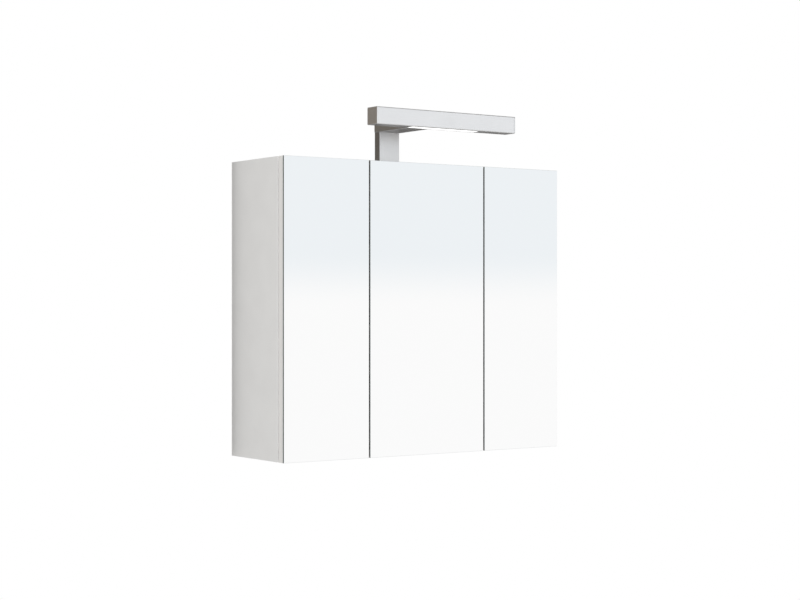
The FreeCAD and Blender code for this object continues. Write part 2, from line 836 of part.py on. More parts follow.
left_hanger = hanger()
hanger_holes = []
hanger_screws = []
hanger_middle_y = (hanger_front_y + back_front_y) / 2
for z in (hanger_low + hanger_margin / 2, hanger_high - hanger_margin / 2):
    seat = Vector(-side_inner + wood_screw_head_radius, hanger_middle_y, z)
    hole = turned(countersunk(fastener_clearance), seat, Vector(1, 0, 0))
    access = rod(
        wood_screw_head_radius + fastener_clearance,
        seat,
        Vector(-side_inner + hanger_width, hanger_middle_y, z),
    )
    hanger_holes += [hole, access]
    hanger_screws.append(turned(wood_screw(), seat, Vector(1, 0, 0)))
left_hanger = left_hanger.cut(hanger_holes)
left_side = left_side.cut(hanger_holes[0::2])
right_side = right_side.cut([mirrored(hole) for hole in hanger_holes[0::2]])
panel_screws += hanger_screws + [mirrored(screw) for screw in hanger_screws]
back_slot_half = hook_width / 2 + back_slot_margin / 2
back_slot = box(
    hook_centre - back_slot_half,
    hook_centre + back_slot_half,
    back_front_y,
    back_rear_y,
    hook_low - hook_lip_drop - back_slot_margin,
    hook_high + back_slot_margin,
)
back_panel = back_panel.cut([back_slot, mirrored(back_slot)])
save("hanger_left", left_hanger)
save("hanger_right", mirrored(left_hanger))
save("hanger_hooks", hook(), mirrored(hook()))
save("wall_plate_left", wall_plate())
save("wall_plate_right", mirrored(wall_plate()))

# Lamp: a square tube with a window in its underside, on a flat arm and post
lamp_low = top_z + lamp_height_above_top
lamp_high = lamp_low + lamp_section
lamp_front_y = mirror_front_y - lamp_overhang
lamp_back_y = lamp_front_y + lamp_section
lamp_middle_y = (lamp_front_y + lamp_back_y) / 2
tube_end = lamp_length / 2 - lamp_cap_thickness
window_half = lamp_window_length / 2
tube = box(-tube_end, tube_end, lamp_front_y, lamp_back_y, lamp_low, lamp_high)
tube = rounded(tube, lamp_edge_radius, edges_along("x"))
left_rim = edges_at("x", -tube_end)
right_rim = edges_at("x", tube_end)
tube = chamfered(tube, lamp_cap_groove, lambda edge: left_rim(edge) or right_rim(edge))
hollow_front_y = lamp_front_y + lamp_wall
hollow_back_y = lamp_back_y - lamp_wall
tube_hollow = box(
    -tube_end,
    tube_end,
    hollow_front_y,
    hollow_back_y,
    lamp_low + lamp_wall,
    lamp_high - lamp_wall,
)
window_front_y = hollow_front_y + lamp_window_lip
window_back_y = hollow_back_y - lamp_window_lip
window = box(-window_half, window_half, window_front_y, window_back_y, lamp_low, lamp_low + lamp_wall)
web_low = lamp_low + lamp_section / 2
web = box(-tube_end, tube_end, hollow_front_y, hollow_back_y, web_low, web_low + lamp_wall)
tube = join([tube.cut([tube_hollow, window]), web])
end_cap = box(tube_end, lamp_length / 2, lamp_front_y, lamp_back_y, lamp_low, lamp_high)
end_cap = rounded(end_cap, lamp_edge_radius, edges_along("x"))
end_cap = rounded(end_cap, lamp_cap_edge_radius, edges_at("x", lamp_length / 2))
diffuser = box(
    -window_half + diffuser_clearance,
    window_half - diffuser_clearance,
    window_front_y + diffuser_clearance,
    window_back_y - diffuser_clearance,
    lamp_low,
    lamp_low + lamp_wall + diffuser_clearance,
)
diffuser_plate = box(
    -window_half - diffuser_lip,
    window_half + diffuser_lip,
    hollow_front_y + diffuser_clearance,
    hollow_back_y - diffuser_clearance,
    lamp_low + lamp_wall + diffuser_clearance,
    lamp_low + lamp_wall + diffuser_thickness,
)
board_low = web_low - led_board_thickness
led_board = box(
    -window_half,
    window_half,
    lamp_middle_y - led_board_width / 2,
    lamp_middle_y + led_board_width / 2,
    board_low,
    web_low,
)
leds = []
led_pitch = lamp_window_length / led_count
for index in range(led_count):
    x0 = -window_half + (index + 0.5) * led_pitch - led_size / 2
    y0 = lamp_middle_y - led_size / 2
    leds.append(box(x0, x0 + led_size, y0, y0 + led_size, board_low - led_height, board_low))

arm_x0 = lamp_arm_offset - lamp_arm_width / 2
arm_x1 = lamp_arm_offset + lamp_arm_width / 2
post_front_y = mirror_front_y + lamp_post_setback
post_back_y = post_front_y + lamp_arm_thickness
post_middle_y = (post_front_y + post_back_y) / 2
arm_high = lamp_low + lamp_arm_thickness
arm = box(arm_x0, arm_x1, lamp_back_y, post_back_y, lamp_low, arm_high)
arm = rounded(arm, lamp_edge_radius, edges_along("y"))
arm_hollow = box(
    arm_x0 + lamp_wall,
    arm_x1 - lamp_wall,
    lamp_back_y + lamp_wall,
    post_back_y - lamp_wall,
    lamp_low + lamp_wall,
    arm_high - lamp_wall,
)
wire_way = rod(
    wire_hole_radius,
    Vector(lamp_arm_offset, post_middle_y, inner_top_z),
    Vector(lamp_arm_offset, post_middle_y, lamp_low + lamp_wall),
)
front_wire_way = rod(
    wire_hole_radius,
    Vector(lamp_arm_offset, lamp_back_y - lamp_wall, lamp_low + lamp_arm_thickness / 2),
    Vector(lamp_arm_offset, lamp_back_y + lamp_wall, lamp_low + lamp_arm_thickness / 2),
)
post = box(arm_x0, arm_x1, post_front_y, post_back_y, top_z, lamp_low)
post = rounded(post, lamp_edge_radius, edges_along("z"))
post_hollow = box(
    arm_x0 + lamp_wall,
    arm_x1 - lamp_wall,
    post_front_y + lamp_wall,
    post_back_y - lamp_wall,
    top_z + lamp_foot_height,
    lamp_low - lamp_wall,
)

# Screws from inside the cabinet hold the post, screws inside the tube hold the arm
post_screw_length = board_thickness + lamp_post_screw_bite
post_screw = pan_screw(lamp_screw_radius, post_screw_length, lamp_screw_head_radius, lamp_screw_head_height)
arm_end_screw = pan_screw(
    lamp_screw_radius, lamp_arm_screw_length, lamp_screw_head_radius, lamp_screw_head_height
)
post_screws = []
post_screw_holes = []
arm_end_screws = []
arm_end_holes = []
for side in (-1, 1):
    x = lamp_arm_offset + side * lamp_post_screw_spacing / 2
    seat = Vector(x, post_middle_y, inner_top_z)
    post_screws.append(turned(post_screw, seat, Vector(0, 0, -1)))
    hole_end = seat + Vector(0, 0, post_screw_length + fastener_clearance)
    post_screw_holes.append(rod(lamp_screw_radius + fastener_clearance, seat, hole_end))
    inside = Vector(x, lamp_back_y - lamp_wall, lamp_low + lamp_arm_thickness / 2)
    arm_end_screws.append(turned(arm_end_screw, inside, Vector(0, -1, 0)))
    hole_end = inside + Vector(0, lamp_arm_screw_length + fastener_clearance, 0)
    arm_end_holes.append(rod(lamp_screw_radius + fastener_clearance, inside, hole_end))
tube = tube.cut(arm_end_holes + [front_wire_way])
arm = arm.cut([arm_hollow, wire_way, front_wire_way] + arm_end_holes)
post = post.cut([post_hollow, wire_way] + post_screw_holes)
top_panel = top_panel.cut(post_screw_holes + [wire_way])
save("lamp_bar", tube)
save("lamp_end_caps", end_cap, mirrored(end_cap))
save("lamp_diffuser", join([diffuser, diffuser_plate]))
save("lamp_led_board", led_board)
save("lamp_leds", *leds)
save("lamp_arm", arm)
save("lamp_post", post)
save("lamp_post_screws", *post_screws)
save("lamp_arm_screws", *arm_end_screws)

# Switch box in the upper right corner of the centre compartment
box_x1 = partition_inner
box_x0 = box_x1 - switch_box_width
box_y0 = front_y + switch_box_from_front
box_y1 = box_y0 + switch_box_depth
box_z1 = inner_top_z
box_z0 = box_z1 - switch_box_height
switch_x = (box_x0 + box_x1) / 2
switch_z = (box_z0 + box_z1) / 2
body_half_x = switch_frame_width / 2 - switch_frame_rim
body_half_z = switch_frame_height / 2 - switch_frame_rim
switch_box = box(box_x0, box_x1, box_y0, box_y1, box_z0, box_z1)
switch_box = rounded(switch_box, switch_box_wall / 2, edges_at("z", box_z0))
switch_box_hollow = box(
    box_x0 + switch_box_wall,
    box_x1 - switch_box_wall,
    box_y0 + switch_box_wall,
    box_y1 - switch_box_wall,
    box_z0 + switch_box_wall,
    box_z1,
)
switch_window = box(
    switch_x - body_half_x - fastener_clearance,
    switch_x + body_half_x + fastener_clearance,
    box_y0,
    box_y0 + switch_box_wall,
    switch_z - body_half_z - fastener_clearance,
    switch_z + body_half_z + fastener_clearance,
)
frame_front_y = box_y0 - switch_frame_flange
frame_back_y = frame_front_y + switch_frame_body_depth
rocker_axis_y = frame_front_y + rocker_pin_depth
well_half_x = body_half_x - switch_frame_wall
well_half_z = body_half_z - switch_frame_wall
rocker_half_x = well_half_x - rocker_clearance
rocker_half_z = well_half_z - 2 * rocker_clearance
frame_flange = box(
    switch_x - switch_frame_width / 2,
    switch_x + switch_frame_width / 2,
    frame_front_y,
    box_y0,
    switch_z - switch_frame_height / 2,
    switch_z + switch_frame_height / 2,
)
frame_flange = rounded(frame_flange, switch_frame_flange / 3, edges_at("y", frame_front_y))
frame_body = box(
    switch_x - body_half_x,
    switch_x + body_half_x,
    box_y0,
    frame_back_y,
    switch_z - body_half_z,
    switch_z + body_half_z,
)
frame_well = box(
    switch_x - well_half_x,
    switch_x + well_half_x,
    frame_front_y,
    frame_back_y - switch_frame_wall,
    switch_z - well_half_z,
    switch_z + well_half_z,
)
rocker_pin_half = well_half_x + rocker_pin_bite
rocker_pin_hole = rod(
    rocker_pin_radius + fastener_clearance,
    Vector(switch_x - rocker_pin_half - fastener_clearance, rocker_axis_y, switch_z),
    Vector(switch_x + rocker_pin_half + fastener_clearance, rocker_axis_y, switch_z),
)
switch_frame = join([frame_flange, frame_body]).cut([frame_well, rocker_pin_hole])

# The rocker is drawn level and then tipped to its off position about its pins
rocker_outline = [
    Vector(switch_x - rocker_half_x, rocker_axis_y - rocker_middle_height, switch_z),
    Vector(switch_x - rocker_half_x, rocker_axis_y - rocker_edge_height, switch_z + rocker_half_z),
    Vector(switch_x - rocker_half_x, rocker_axis_y - rocker_middle_height / 3, switch_z + rocker_half_z),
    Vector(switch_x - rocker_half_x, rocker_axis_y + rocker_back, switch_z + rocker_half_z / 3),
    Vector(switch_x - rocker_half_x, rocker_axis_y + rocker_back, switch_z - rocker_half_z / 3),
    Vector(switch_x - rocker_half_x, rocker_axis_y - rocker_middle_height / 3, switch_z - rocker_half_z),
    Vector(switch_x - rocker_half_x, rocker_axis_y - rocker_edge_height, switch_z - rocker_half_z),
]
rocker_face = Part.Face(Part.makePolygon(rocker_outline + rocker_outline[:1]))
rocker_body = rocker_face.extrude(Vector(2 * rocker_half_x, 0, 0))
rocker_pin = rod(
    rocker_pin_radius,
    Vector(switch_x - rocker_pin_half, rocker_axis_y, switch_z),
    Vector(switch_x + rocker_pin_half, rocker_axis_y, switch_z),
)
rocker = join([rocker_body, rocker_pin])
rocker.rotate(Vector(switch_x, rocker_axis_y, switch_z), Vector(1, 0, 0), -rocker_rest_tilt)

# The driver hangs under the top panel, the gland lets the supply in through the box's rear wall
gland_wall_y = box_y1 - switch_box_wall
gland_y0 = gland_wall_y - gland_length
driver = box(
    switch_x - driver_width / 2,
    switch_x + driver_width / 2,
    frame_back_y + driver_front_gap,
    gland_y0,
    box_z1 - driver_height,
    box_z1,
)
driver = rounded(driver, driver_edge_radius, edges_along("y"))
gland_outer_radius = gland_bore_radius + gland_wall
gland_flange_radius = gland_outer_radius + gland_flange
gland_z = box_z0 + switch_box_wall + gland_floor_gap + gland_flange_radius


def gland_rod(radius, y0, y1):
    return rod(radius, Vector(switch_x, y0, gland_z), Vector(switch_x, y1, gland_z))


gland_y1 = box_y1 + gland_flange_thickness
gland = join(
    [
        gland_rod(gland_outer_radius, gland_y0, gland_y1),
        gland_rod(gland_flange_radius, gland_wall_y - gland_flange_thickness, gland_wall_y),
        gland_rod(gland_flange_radius, box_y1, gland_y1),
    ]
).cut(gland_rod(gland_bore_radius, gland_y0, gland_y1))
gland_hole = gland_rod(gland_outer_radius + fastener_clearance, gland_wall_y, box_y1)
back_entry = gland_rod(gland_outer_radius, back_front_y, back_rear_y)
box_screw_holes = []
for y in (box_y0 + switch_box_depth / 4, box_y1 - switch_box_depth / 4):
    seat = Vector(box_x1 - switch_box_wall, y, box_z0 + switch_box_height / 4)
    panel_screws.append(turned(wood_screw(), seat, Vector(-1, 0, 0)))
    box_screw_holes.append(turned(countersunk(fastener_clearance), seat, Vector(-1, 0, 0)))
switch_box = switch_box.cut([switch_box_hollow, switch_window, gland_hole] + box_screw_holes)
right_partition = right_partition.cut(box_screw_holes)
back_panel = back_panel.cut(back_entry)
save("switch_box", switch_box)
save("switch_frame", switch_frame)
save("switch_rocker", rocker)
save("lamp_driver", driver)
save("cable_gland", gland)

save("side_panel_left", left_side)
save("side_panel_right", right_side)
save("top_panel", top_panel)
save("bottom_panel", bottom_panel)
save("partition_left", left_partition)
save("partition_right", right_partition)
save("back_panel", back_panel)
save("corner_cams", *cams)
save("corner_cam_bolts", *cam_bolts)
save("dowels", *dowels)
save("shelf_supports", *shelf_supports)
save("hinge_plates", *hinge_plates)
save("hinge_arm_screws", *arm_screws)
save("panel_screws", *panel_screws)
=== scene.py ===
import json
import math

import bmesh
import bpy
from mathutils import Matrix, Vector


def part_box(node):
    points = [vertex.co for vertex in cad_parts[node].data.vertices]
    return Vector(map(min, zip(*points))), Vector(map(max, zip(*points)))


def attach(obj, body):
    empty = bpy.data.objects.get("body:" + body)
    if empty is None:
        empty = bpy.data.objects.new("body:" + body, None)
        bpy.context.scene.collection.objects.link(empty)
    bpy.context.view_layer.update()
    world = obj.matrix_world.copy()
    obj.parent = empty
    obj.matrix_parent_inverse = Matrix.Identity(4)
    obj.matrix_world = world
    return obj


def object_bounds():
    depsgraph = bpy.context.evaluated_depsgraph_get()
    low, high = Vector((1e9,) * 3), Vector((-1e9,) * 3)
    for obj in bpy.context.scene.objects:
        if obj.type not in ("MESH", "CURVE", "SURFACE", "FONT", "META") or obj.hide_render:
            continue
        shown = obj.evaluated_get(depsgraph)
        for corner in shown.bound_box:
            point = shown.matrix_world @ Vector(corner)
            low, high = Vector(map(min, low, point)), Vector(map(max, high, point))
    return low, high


# Mirror cabinet with three mirror doors and a lamp on top.
# Lengths are in metres in the cabinet's own frame: X to the right, Y back to the wall, Z up.

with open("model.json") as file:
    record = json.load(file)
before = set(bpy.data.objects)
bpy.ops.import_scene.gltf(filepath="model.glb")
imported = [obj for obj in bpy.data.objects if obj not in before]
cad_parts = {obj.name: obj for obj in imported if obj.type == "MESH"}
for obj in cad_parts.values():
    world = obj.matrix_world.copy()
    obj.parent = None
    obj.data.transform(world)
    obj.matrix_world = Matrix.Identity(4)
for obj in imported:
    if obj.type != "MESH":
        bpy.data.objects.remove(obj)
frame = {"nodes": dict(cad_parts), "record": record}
cad_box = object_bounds()
nodes = frame["nodes"]
slot_of = {part["node"]: part["material_slot"] for part in frame["record"]["subparts"]}

MILLIMETRE = 0.001
WHITE = (1, 1, 1, 1)
BLACK = (0, 0, 0, 1)

# Camera: level, in front and to the left of the cabinet, with a long lens
IMAGE_WIDTH = 800
FOCAL_LENGTH_PIXELS = 1701.73
SENSOR_WIDTH = 36.0
CAMERA_PLACE = (-2.07696, -3.08295, -0.21705)
CAMERA_HEADING = -34.901
CAMERA_SHIFT_Y = 0.0015

# Surroundings: each band is a range of a direction's Z in which one colour turns into the next,
# and the turn to the rear is a range of its Y
AMBIENT_COLOUR = (0.63, 0.63, 0.628, 1)
LOW_SURROUND_COLOUR = (0.975, 0.975, 0.975, 1)
HIGH_SURROUND_COLOUR = (0.86, 0.895, 0.92, 1)
STEEP_SURROUND_COLOUR = (0.20, 0.20, 0.20, 1)
REAR_SURROUND_COLOUR = (0.255, 0.222, 0.182, 1)
REAR_FLOOR_COLOUR = (0.085, 0.078, 0.070, 1)
HORIZON_BAND = (-0.004, 0.03)
BRIGHT_BAND = (0.10, 0.20)
STEEP_BAND = (0.28, 0.50)
ZENITH_BAND = (0.70, 0.95)
REAR_HORIZON_BAND = (-0.06, 0.06)
TURN_TO_REAR = (0.0, 0.6)

# Floor: each fade is a range of distances from the cabinet, straight back for the rear one
FLOOR_DROP = 1.2
FLOOR_HALF_SIZE = 9.0
FLOOR_COLOUR = (0.86, 0.86, 0.85, 1)
FLOOR_ROUGHNESS = 0.8
FLOOR_FADE = (1.0, 3.5)
REFLECTED_FLOOR_FADE = (3.0, 10.0)
REAR_FLOOR_FADE = (0.3, 1.2)

# Cards at the wall
WALL_CARD_WIDTH = 0.028
WALL_CARD_GAP = 0.002

# Lights of the studio
LIGHT_TARGET = (0, -0.1, -0.2)
LIGHTS = {
    "key": {"place": (-1.9, -2.3, 0.05), "size": 1.4, "power": 22},
    "fill": {"place": (0.7, -2.7, 1.7), "size": 1.8, "power": 20},
}

# Colours of the finishes, in pairs from dark to light where a texture runs between two
BOARD_WHITE = (0.86, 0.853, 0.842, 1)
BAND_WHITE = (0.87, 0.856, 0.836, 1)
BACK_WHITE = (0.83, 0.825, 0.81, 1)
RAW_BOARD = ((0.36, 0.24, 0.135, 1), (0.60, 0.45, 0.28, 1))
FIBRE = ((0.20, 0.115, 0.058, 1), (0.34, 0.215, 0.12, 1))
FIBRE_PATCH = (0.40, 0.27, 0.16, 1)
MIRROR_SILVER = (0.985, 0.985, 0.985, 1)
MIRROR_BEVEL = (0.80, 0.84, 0.84, 1)
# Mirror edges: the dark green of polished glass, darkened further as painted shade in the gaps between the
# doors
MIRROR_EDGE_WITH_GAP_SHADE = ((0.018, 0.025, 0.022, 1), (0.045, 0.056, 0.052, 1))
GLASS_CLEAR = (0.965, 0.99, 0.98, 1)
GLASS_EDGE = ((0.27, 0.50, 0.42, 1), (0.36, 0.60, 0.51, 1))
HINGE_STEEL = ((0.66, 0.645, 0.62, 1), (0.76, 0.75, 0.73, 1))
PIN_STEEL = ((0.58, 0.58, 0.59, 1), (0.66, 0.66, 0.68, 1))
SCREW_STEEL = ((0.62, 0.63, 0.66, 1), (0.74, 0.73, 0.70, 1))
SUPPORT_STEEL = ((0.68, 0.67, 0.65, 1), (0.77, 0.76, 0.75, 1))
FITTING_ZINC = ((0.50, 0.50, 0.49, 1), (0.63, 0.63, 0.62, 1))
SHEET_ZINC = ((0.66, 0.68, 0.71, 1), (0.80, 0.81, 0.83, 1))
LAMP_SILVER = (0.875, 0.876, 0.886, 1)
STAND_SILVER = (0.755, 0.757, 0.764, 1)
GRAZING_TINT = (0.30, 0.29, 0.28, 1)
BEECH = ((0.50, 0.33, 0.19, 1), (0.70, 0.52, 0.33, 1))
BEECH_RAY = (0.42, 0.26, 0.14, 1)
OPAL = ((0.90, 0.90, 0.89, 1), (0.95, 0.95, 0.94, 1))
SOLDER_MASK = (0.86, 0.87, 0.86, 1)
MASKED_TRACK = (0.80, 0.81, 0.78, 1)
PHOSPHOR = ((0.90, 0.80, 0.40, 1), (0.95, 0.90, 0.60, 1))
PHOSPHOR_GLOW = (1.0, 0.93, 0.75, 1)
PLASTIC_WHITE = (0.84, 0.84, 0.825, 1)
ROCKER_WHITE = (0.88, 0.88, 0.87, 1)
DRIVER_GREY = (0.74, 0.74, 0.73, 1)
MARK_GREY = (0.20, 0.205, 0.21, 1)
RUBBER_CLEAR = (0.80, 0.82, 0.82, 1)
RUBBER_BLACK = (0.055, 0.055, 0.058, 1)

# Textures
NOISE_SPAN = (0.3, 0.7)
WIDE_NOISE_SPAN = (0.25, 0.75)
GLASS_IOR = 1.52
RUBBER_IOR = 1.46
RAW_EDGE_DEPTH = 0.2 * MILLIMETRE
SCREEN_PITCH = 1.8 * MILLIMETRE
TRACK_PITCH = 4 * MILLIMETRE
LED_COUNT = 20
FINE_GRAIN = {"grain": 0.4 * MILLIMETRE, "depth": 0.003 * MILLIMETRE}

# Facing: how squarely a surface faces along an axis, from 0 to 1, where its look changes
BAND_TURN = (0.35, 0.65)
HARDBOARD_REAR_TURN = (0.4, 0.6)
MIRROR_BEVEL_TURN = (0.5, 0.6)
MIRROR_FACE_TURN = (0.85, 0.95)
SHELF_FACE_TURN = (0.6, 0.9)
# Where the painted shade on the sides of the lamp's metal sets in
METAL_SHADED_SIDE_TURN = (0.6, 0.9)

# Small details: the heads of the hangers' adjusting screws and the signs on the rocker
ROUND_SIDES = 48
SCREW_HEAD_RADIUS = 3.1 * MILLIMETRE
SCREW_HEAD_HEIGHT = 1.3 * MILLIMETRE
SCREW_ROUNDING = 0.45 * MILLIMETRE
SCREW_ROUNDING_STEPS = 4
CROSS_REACH = 1.9 * MILLIMETRE
CROSS_HALF_WIDTH = 0.4 * MILLIMETRE
CROSS_DEPTH = 0.9 * MILLIMETRE
ADJUSTER_FROM_END = 6 * MILLIMETRE
MARK_HEIGHT = 0.12 * MILLIMETRE
BAR_HALF_WIDTH = 0.45 * MILLIMETRE
BAR_HALF_HEIGHT = 1.9 * MILLIMETRE
RING_INNER_RADIUS = 1.35 * MILLIMETRE
RING_OUTER_RADIUS = 2.0 * MILLIMETRE
ROCKER_FRONT_FACING = 0.9


# Studio
def add_camera():
    data = bpy.data.cameras.new("camera")
    data.sensor_width = SENSOR_WIDTH
    data.lens = SENSOR_WIDTH * FOCAL_LENGTH_PIXELS / IMAGE_WIDTH
    data.shift_y = CAMERA_SHIFT_Y
    camera = bpy.data.objects.new("camera", data)
    camera.location = CAMERA_PLACE
    camera.rotation_euler = (math.radians(90), 0, math.radians(CAMERA_HEADING))
    bpy.context.scene.collection.objects.link(camera)
    bpy.context.scene.camera = camera


class Nodes:
    """A node tree that is filled one call at a time. Inputs are given as values or as other outputs."""

    def __init__(self, tree):
        self.tree = tree

    def feed(self, socket, value):
        if isinstance(value, bpy.types.NodeSocket):
            self.tree.links.new(value, socket)
        else:
            socket.default_value = value

    def add(self, kind, inputs, **settings):
        node = self.tree.nodes.new("ShaderNode" + kind)
        for name, value in settings.items():
            setattr(node, name, value)
        for name, value in inputs.items():
            self.feed(node.inputs[name], value)
        return node

    def calculate(self, operation, first, second=0.0):
        return self.add("Math", {0: first, 1: second}, operation=operation).outputs[0]

    def ramp(self, value, start, end, low=0.0, high=1.0, smooth=False):
        """The value carried from start..end to low..high, held at both ends."""
        kind = "SMOOTHSTEP" if smooth else "LINEAR"
        inputs = {"Value": value, "From Min": start, "From Max": end, "To Min": low, "To Max": high}
        return self.add("MapRange", inputs, interpolation_type=kind).outputs["Result"]

    def mix(self, factor, first, second):
        """A colour between two colours."""
        node = self.add("Mix", {"Factor": factor}, data_type="RGBA")
        first_colour, second_colour, result = node.inputs[6], node.inputs[7], node.outputs[2]
        self.feed(first_colour, first)
        self.feed(second_colour, second)
        return result


def build_world():
    """White behind the object, soft grey light on it, and in what it reflects pale surroundings
    that are dark behind it and in a steep band under the zenith.
    """
    world = bpy.data.worlds.new("studio")
    world.use_nodes = True
    bpy.context.scene.world = world
    tree = Nodes(world.node_tree)
    direction = tree.add("TexCoord", {}).outputs["Generated"]
    parts = tree.add("SeparateXYZ", {"Vector": direction}).outputs

    def above(band):
        return tree.ramp(parts["Z"], *band, smooth=True)

    front = tree.mix(above(HORIZON_BAND), LOW_SURROUND_COLOUR, HIGH_SURROUND_COLOUR)
    front = tree.mix(above(BRIGHT_BAND), front, WHITE)
    rear = tree.mix(above(REAR_HORIZON_BAND), REAR_FLOOR_COLOUR, REAR_SURROUND_COLOUR)
    surround = tree.mix(tree.ramp(parts["Y"], *TURN_TO_REAR, smooth=True), front, rear)
    surround = tree.mix(above(STEEP_BAND), surround, STEEP_SURROUND_COLOUR)
    surround = tree.mix(above(ZENITH_BAND), surround, WHITE)
    path = tree.add("LightPath", {}).outputs
    reflected = tree.calculate("MAXIMUM", path["Is Glossy Ray"], path["Is Transmission Ray"])
    seen = tree.mix(reflected, AMBIENT_COLOUR, surround)
    colour = tree.mix(path["Is Camera Ray"], seen, WHITE)
    background = world.node_tree.nodes["Background"]
    tree.feed(background.inputs["Color"], colour)


def add_area_light(name, place, size, power):
    data = bpy.data.lights.new(name, "AREA")
    data.shape = "DISK"
    data.size = size
    data.energy = power
    light = bpy.data.objects.new(name, data)
    light.location = place
    light.rotation_euler = (Vector(LIGHT_TARGET) - Vector(place)).to_track_quat("-Z", "Y").to_euler()
    light.visible_glossy = False
    light.visible_camera = False
    bpy.context.scene.collection.objects.link(light)


def flat_sheet(name, corners):
    mesh = bpy.data.meshes.new(name)
    mesh.from_pydata(corners, [], [tuple(range(len(corners)))])
    sheet = bpy.data.objects.new(name, mesh)
    bpy.context.scene.collection.objects.link(sheet)
    return sheet


def floor_material():
    """Pale paint that fades to white away from the cabinet. In reflections it fades farther out,
    and to a dark tone behind the cabinet.
    """
    material = bpy.data.materials.new("floor")
    material.use_nodes = True
    tree = Nodes(material.node_tree)
    place = tree.add("TexCoord", {}).outputs["Object"]
    flat = tree.add("VectorMath", {0: place, 1: (1, 1, 0)}, operation="MULTIPLY").outputs[0]
    reach = tree.add("VectorMath", {0: flat}, operation="LENGTH").outputs["Value"]
    path = tree.add("LightPath", {}).outputs
    seen = tree.calculate("MAXIMUM", path["Is Camera Ray"], path["Is Transmission Ray"])
    seen_fade = tree.calculate("MULTIPLY", tree.ramp(reach, *FLOOR_FADE, smooth=True), seen)
    far = tree.ramp(reach, *REFLECTED_FLOOR_FADE, smooth=True)
    reflected_fade = tree.calculate("MULTIPLY", far, path["Is Glossy Ray"])
    away = tree.calculate("MAXIMUM", seen_fade, reflected_fade)
    depth = tree.add("SeparateXYZ", {"Vector": place}).outputs["Y"]
    behind = tree.ramp(depth, *REAR_FLOOR_FADE, smooth=True)
    behind = tree.calculate("MULTIPLY", behind, path["Is Glossy Ray"])
    glow_colour = tree.mix(behind, WHITE, REAR_FLOOR_COLOUR)
    paint = material.node_tree.nodes["Principled BSDF"]
    paint.inputs["Base Color"].default_value = FLOOR_COLOUR
    paint.inputs["Roughness"].default_value = FLOOR_ROUGHNESS
    glow = tree.add("Emission", {"Color": glow_colour, "Strength": 1.0}).outputs[0]
    both = tree.add("MixShader", {0: away, 1: paint.outputs[0], 2: glow}).outputs[0]
    tree.feed(material.node_tree.nodes["Material Output"].inputs["Surface"], both)
    return material


def add_floor():
    """A pale floor well below the hung cabinet."""
    z = cad_box[0].z - FLOOR_DROP
    half = FLOOR_HALF_SIZE
    floor = flat_sheet("floor", [(-half, -half, z), (half, -half, z), (half, half, z), (-half, half, z)])
    floor.data.materials.append(floor_material())


def add_wall_cards():
    """A narrow black card beside each side at the wall, which keeps light off as a wall would."""
    material = bpy.data.materials.new("wall_card")
    material.use_nodes = True
    shader = material.node_tree.nodes["Principled BSDF"]
    shader.inputs["Base Color"].default_value = BLACK
    shader.inputs["Specular IOR Level"].default_value = 0.0
    low, high = cad_box
    for name, side in (("wall_card_left", low.x), ("wall_card_right", high.x)):
        outward = math.copysign(1, side)
        x0 = side + outward * WALL_CARD_GAP
        x1 = x0 + outward * WALL_CARD_WIDTH
        card = flat_sheet(name, [(x0, 0, low.z), (x1, 0, low.z), (x1, 0, high.z), (x0, 0, high.z)])
        card.data.materials.append(material)
        card.visible_camera = False
        card.visible_glossy = False
        card.visible_transmission = False
        card.visible_shadow = False


# Finishes
def shade(colour, factor):
    return tuple(min(1.0, part * factor) for part in colour[:3]) + (1,)


